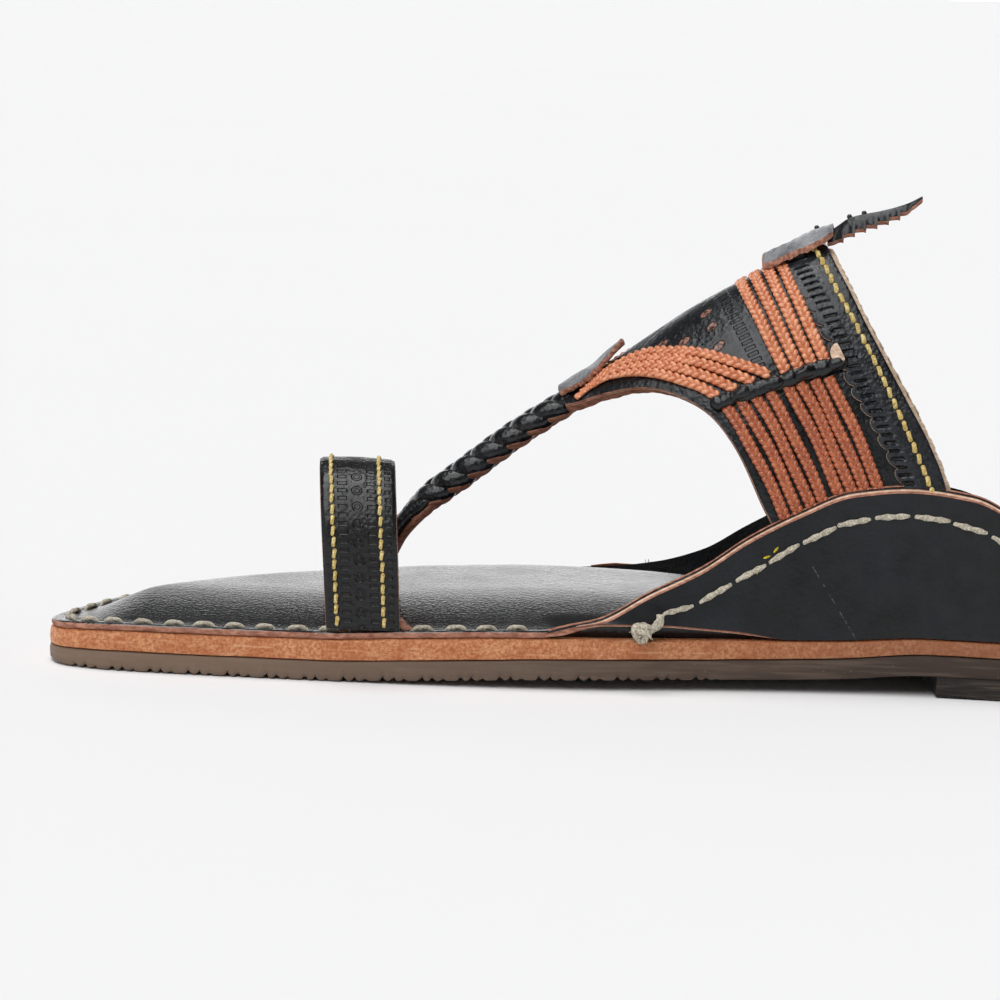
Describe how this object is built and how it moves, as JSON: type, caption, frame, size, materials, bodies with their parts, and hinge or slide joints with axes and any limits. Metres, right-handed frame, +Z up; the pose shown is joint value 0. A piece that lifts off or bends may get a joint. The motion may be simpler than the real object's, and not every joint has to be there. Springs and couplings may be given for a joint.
{
  "type": "kolhapuri sandal",
  "caption": "Right kolhapuri sandal in black leather with a big-toe ring, a plaited neck strap, a corded instep strap and two stitched side flaps.",
  "frame": {"origin": "on the floor under the middle of the sole's outline", "axes": "+X from toe to heel, -Y towards the medial (big toe) side, +Z up from the floor"},
  "size_m": [0.275, 0.0978, 0.1074],
  "materials": {
    "black_leather": "satin",
    "tan_leather": "matte",
    "rubber": "matte",
    "cord": "satin",
    "thread": "matte",
    "gold_thread": "satin",
    "bead": "gloss"
  },
  "bodies": {
    "root": {"outsole": "rubber", "heel": "rubber", "midsole": "tan_leather", "insole": "black_leather", "flap_medial": "black_leather", "flap_lateral": "black_leather", "upper": "black_leather", "toe_ring": "black_leather", "front_leaf": "black_leather", "top_leaf": "black_leather", "bar_medial": "black_leather", "bar_lateral": "black_leather"}
  },
  "joints": []
}
